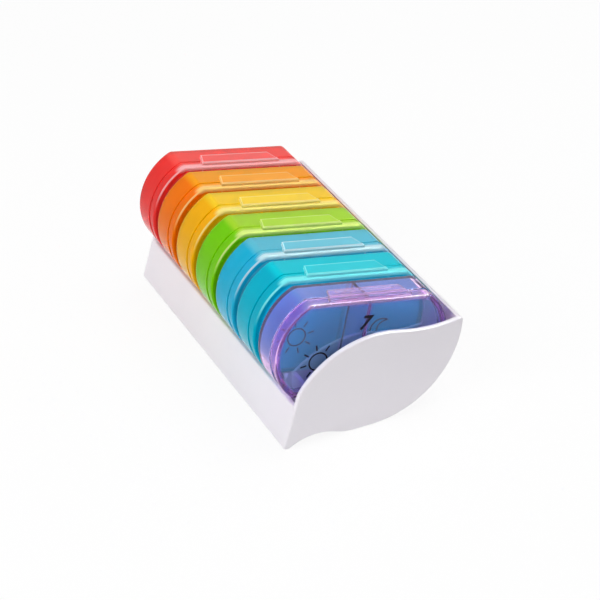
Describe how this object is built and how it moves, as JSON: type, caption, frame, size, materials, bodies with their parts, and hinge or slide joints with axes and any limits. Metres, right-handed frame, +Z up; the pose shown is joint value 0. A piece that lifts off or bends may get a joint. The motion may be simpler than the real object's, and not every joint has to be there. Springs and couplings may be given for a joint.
{
  "type": "weekly pill organizer",
  "caption": "Weekly pill organizer: coloured see-through day boxes with a morning and an evening compartment stand in a row in an S-curved white tray.",
  "frame": {"origin": "middle of the footprint, on the surface that the tray stands on", "axes": "+Z up; +Y along the row of day boxes, from the last day at the front to the first day at the back; +X towards the tray's high curved side"},
  "size_m": [0.0778, 0.1366, 0.0596],
  "materials": {
    "white_tray": "glossy moulded",
    "red_plastic": "glossy tinted see-through",
    "orange_plastic": "glossy tinted see-through",
    "yellow_plastic": "glossy tinted see-through",
    "green_plastic": "glossy tinted see-through",
    "light_blue_plastic": "glossy tinted see-through",
    "teal_plastic": "glossy tinted see-through",
    "purple_plastic": "glossy tinted see-through"
  },
  "bodies": {
    "tray": {"tray": "white_tray", "seat_rail_left": "white_tray", "seat_rail_right": "white_tray", "bay_divider_1": "white_tray", "bay_divider_2": "white_tray", "bay_divider_3": "white_tray", "bay_divider_4": "white_tray", "bay_divider_5": "white_tray", "bay_divider_6": "white_tray"},
    "day1_box": {"day1_case": "red_plastic", "day1_lid": "red_plastic"},
    "day2_box": {"day2_case": "orange_plastic", "day2_lid": "orange_plastic"},
    "day3_box": {"day3_case": "yellow_plastic", "day3_lid": "yellow_plastic"},
    "day4_box": {"day4_case": "green_plastic", "day4_lid": "green_plastic"},
    "day5_box": {"day5_case": "light_blue_plastic", "day5_lid": "light_blue_plastic"},
    "day6_box": {"day6_case": "teal_plastic", "day6_lid": "teal_plastic"},
    "day7_box": {"day7_case": "purple_plastic", "day7_lid": "purple_plastic"}
  },
  "joints": [
    {"name": "day1_lift", "type": "slide", "parent": "tray", "child": "day1_box", "axis": [0, 0, 1], "range_m": [0, 0.06]},
    {"name": "day2_lift", "type": "slide", "parent": "tray", "child": "day2_box", "axis": [0, 0, 1], "range_m": [0, 0.06]},
    {"name": "day3_lift", "type": "slide", "parent": "tray", "child": "day3_box", "axis": [0, 0, 1], "range_m": [0, 0.06]},
    {"name": "day4_lift", "type": "slide", "parent": "tray", "child": "day4_box", "axis": [0, 0, 1], "range_m": [0, 0.06]},
    {"name": "day5_lift", "type": "slide", "parent": "tray", "child": "day5_box", "axis": [0, 0, 1], "range_m": [0, 0.06]},
    {"name": "day6_lift", "type": "slide", "parent": "tray", "child": "day6_box", "axis": [0, 0, 1], "range_m": [0, 0.06]},
    {"name": "day7_lift", "type": "slide", "parent": "tray", "child": "day7_box", "axis": [0, 0, 1], "range_m": [0, 0.06]}
  ]
}
